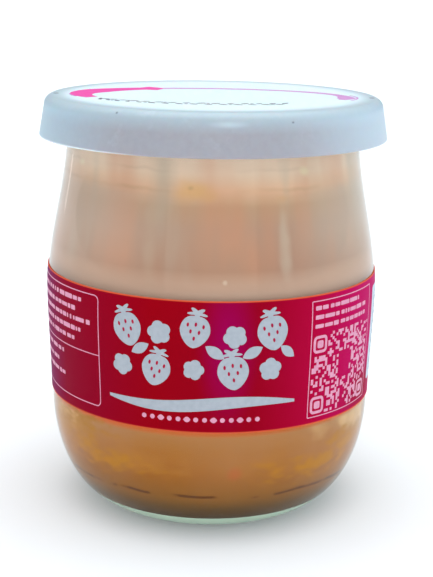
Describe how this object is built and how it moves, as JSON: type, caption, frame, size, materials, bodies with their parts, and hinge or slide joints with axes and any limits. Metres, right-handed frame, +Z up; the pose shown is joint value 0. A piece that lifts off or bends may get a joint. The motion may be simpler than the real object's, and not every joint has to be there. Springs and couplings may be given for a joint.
{
  "type": "yogurt pot",
  "caption": "Small bellied clear glass pot filled with pale yogurt, closed by a press-on plastic lid and wrapped by a printed band.",
  "frame": {"origin": "middle of the foot, on the surface that the pot stands on", "axes": "+Z up along the pot's axis, -Y towards the front of the printed band, +X to the right"},
  "size_m": [0.0626, 0.0626, 0.0749],
  "materials": {
    "glass": "clear, smooth, with a faint green tint in the thick base",
    "yogurt": "smooth set yogurt, pale peach, damp",
    "lid_plastic": "soft white plastic, satin",
    "band_paper": "glossy crimson print with pale shapes"
  },
  "bodies": {
    "root": {"glass_pot": "glass", "yogurt": "yogurt", "lid": "lid_plastic", "printed_band": "band_paper"}
  },
  "joints": []
}
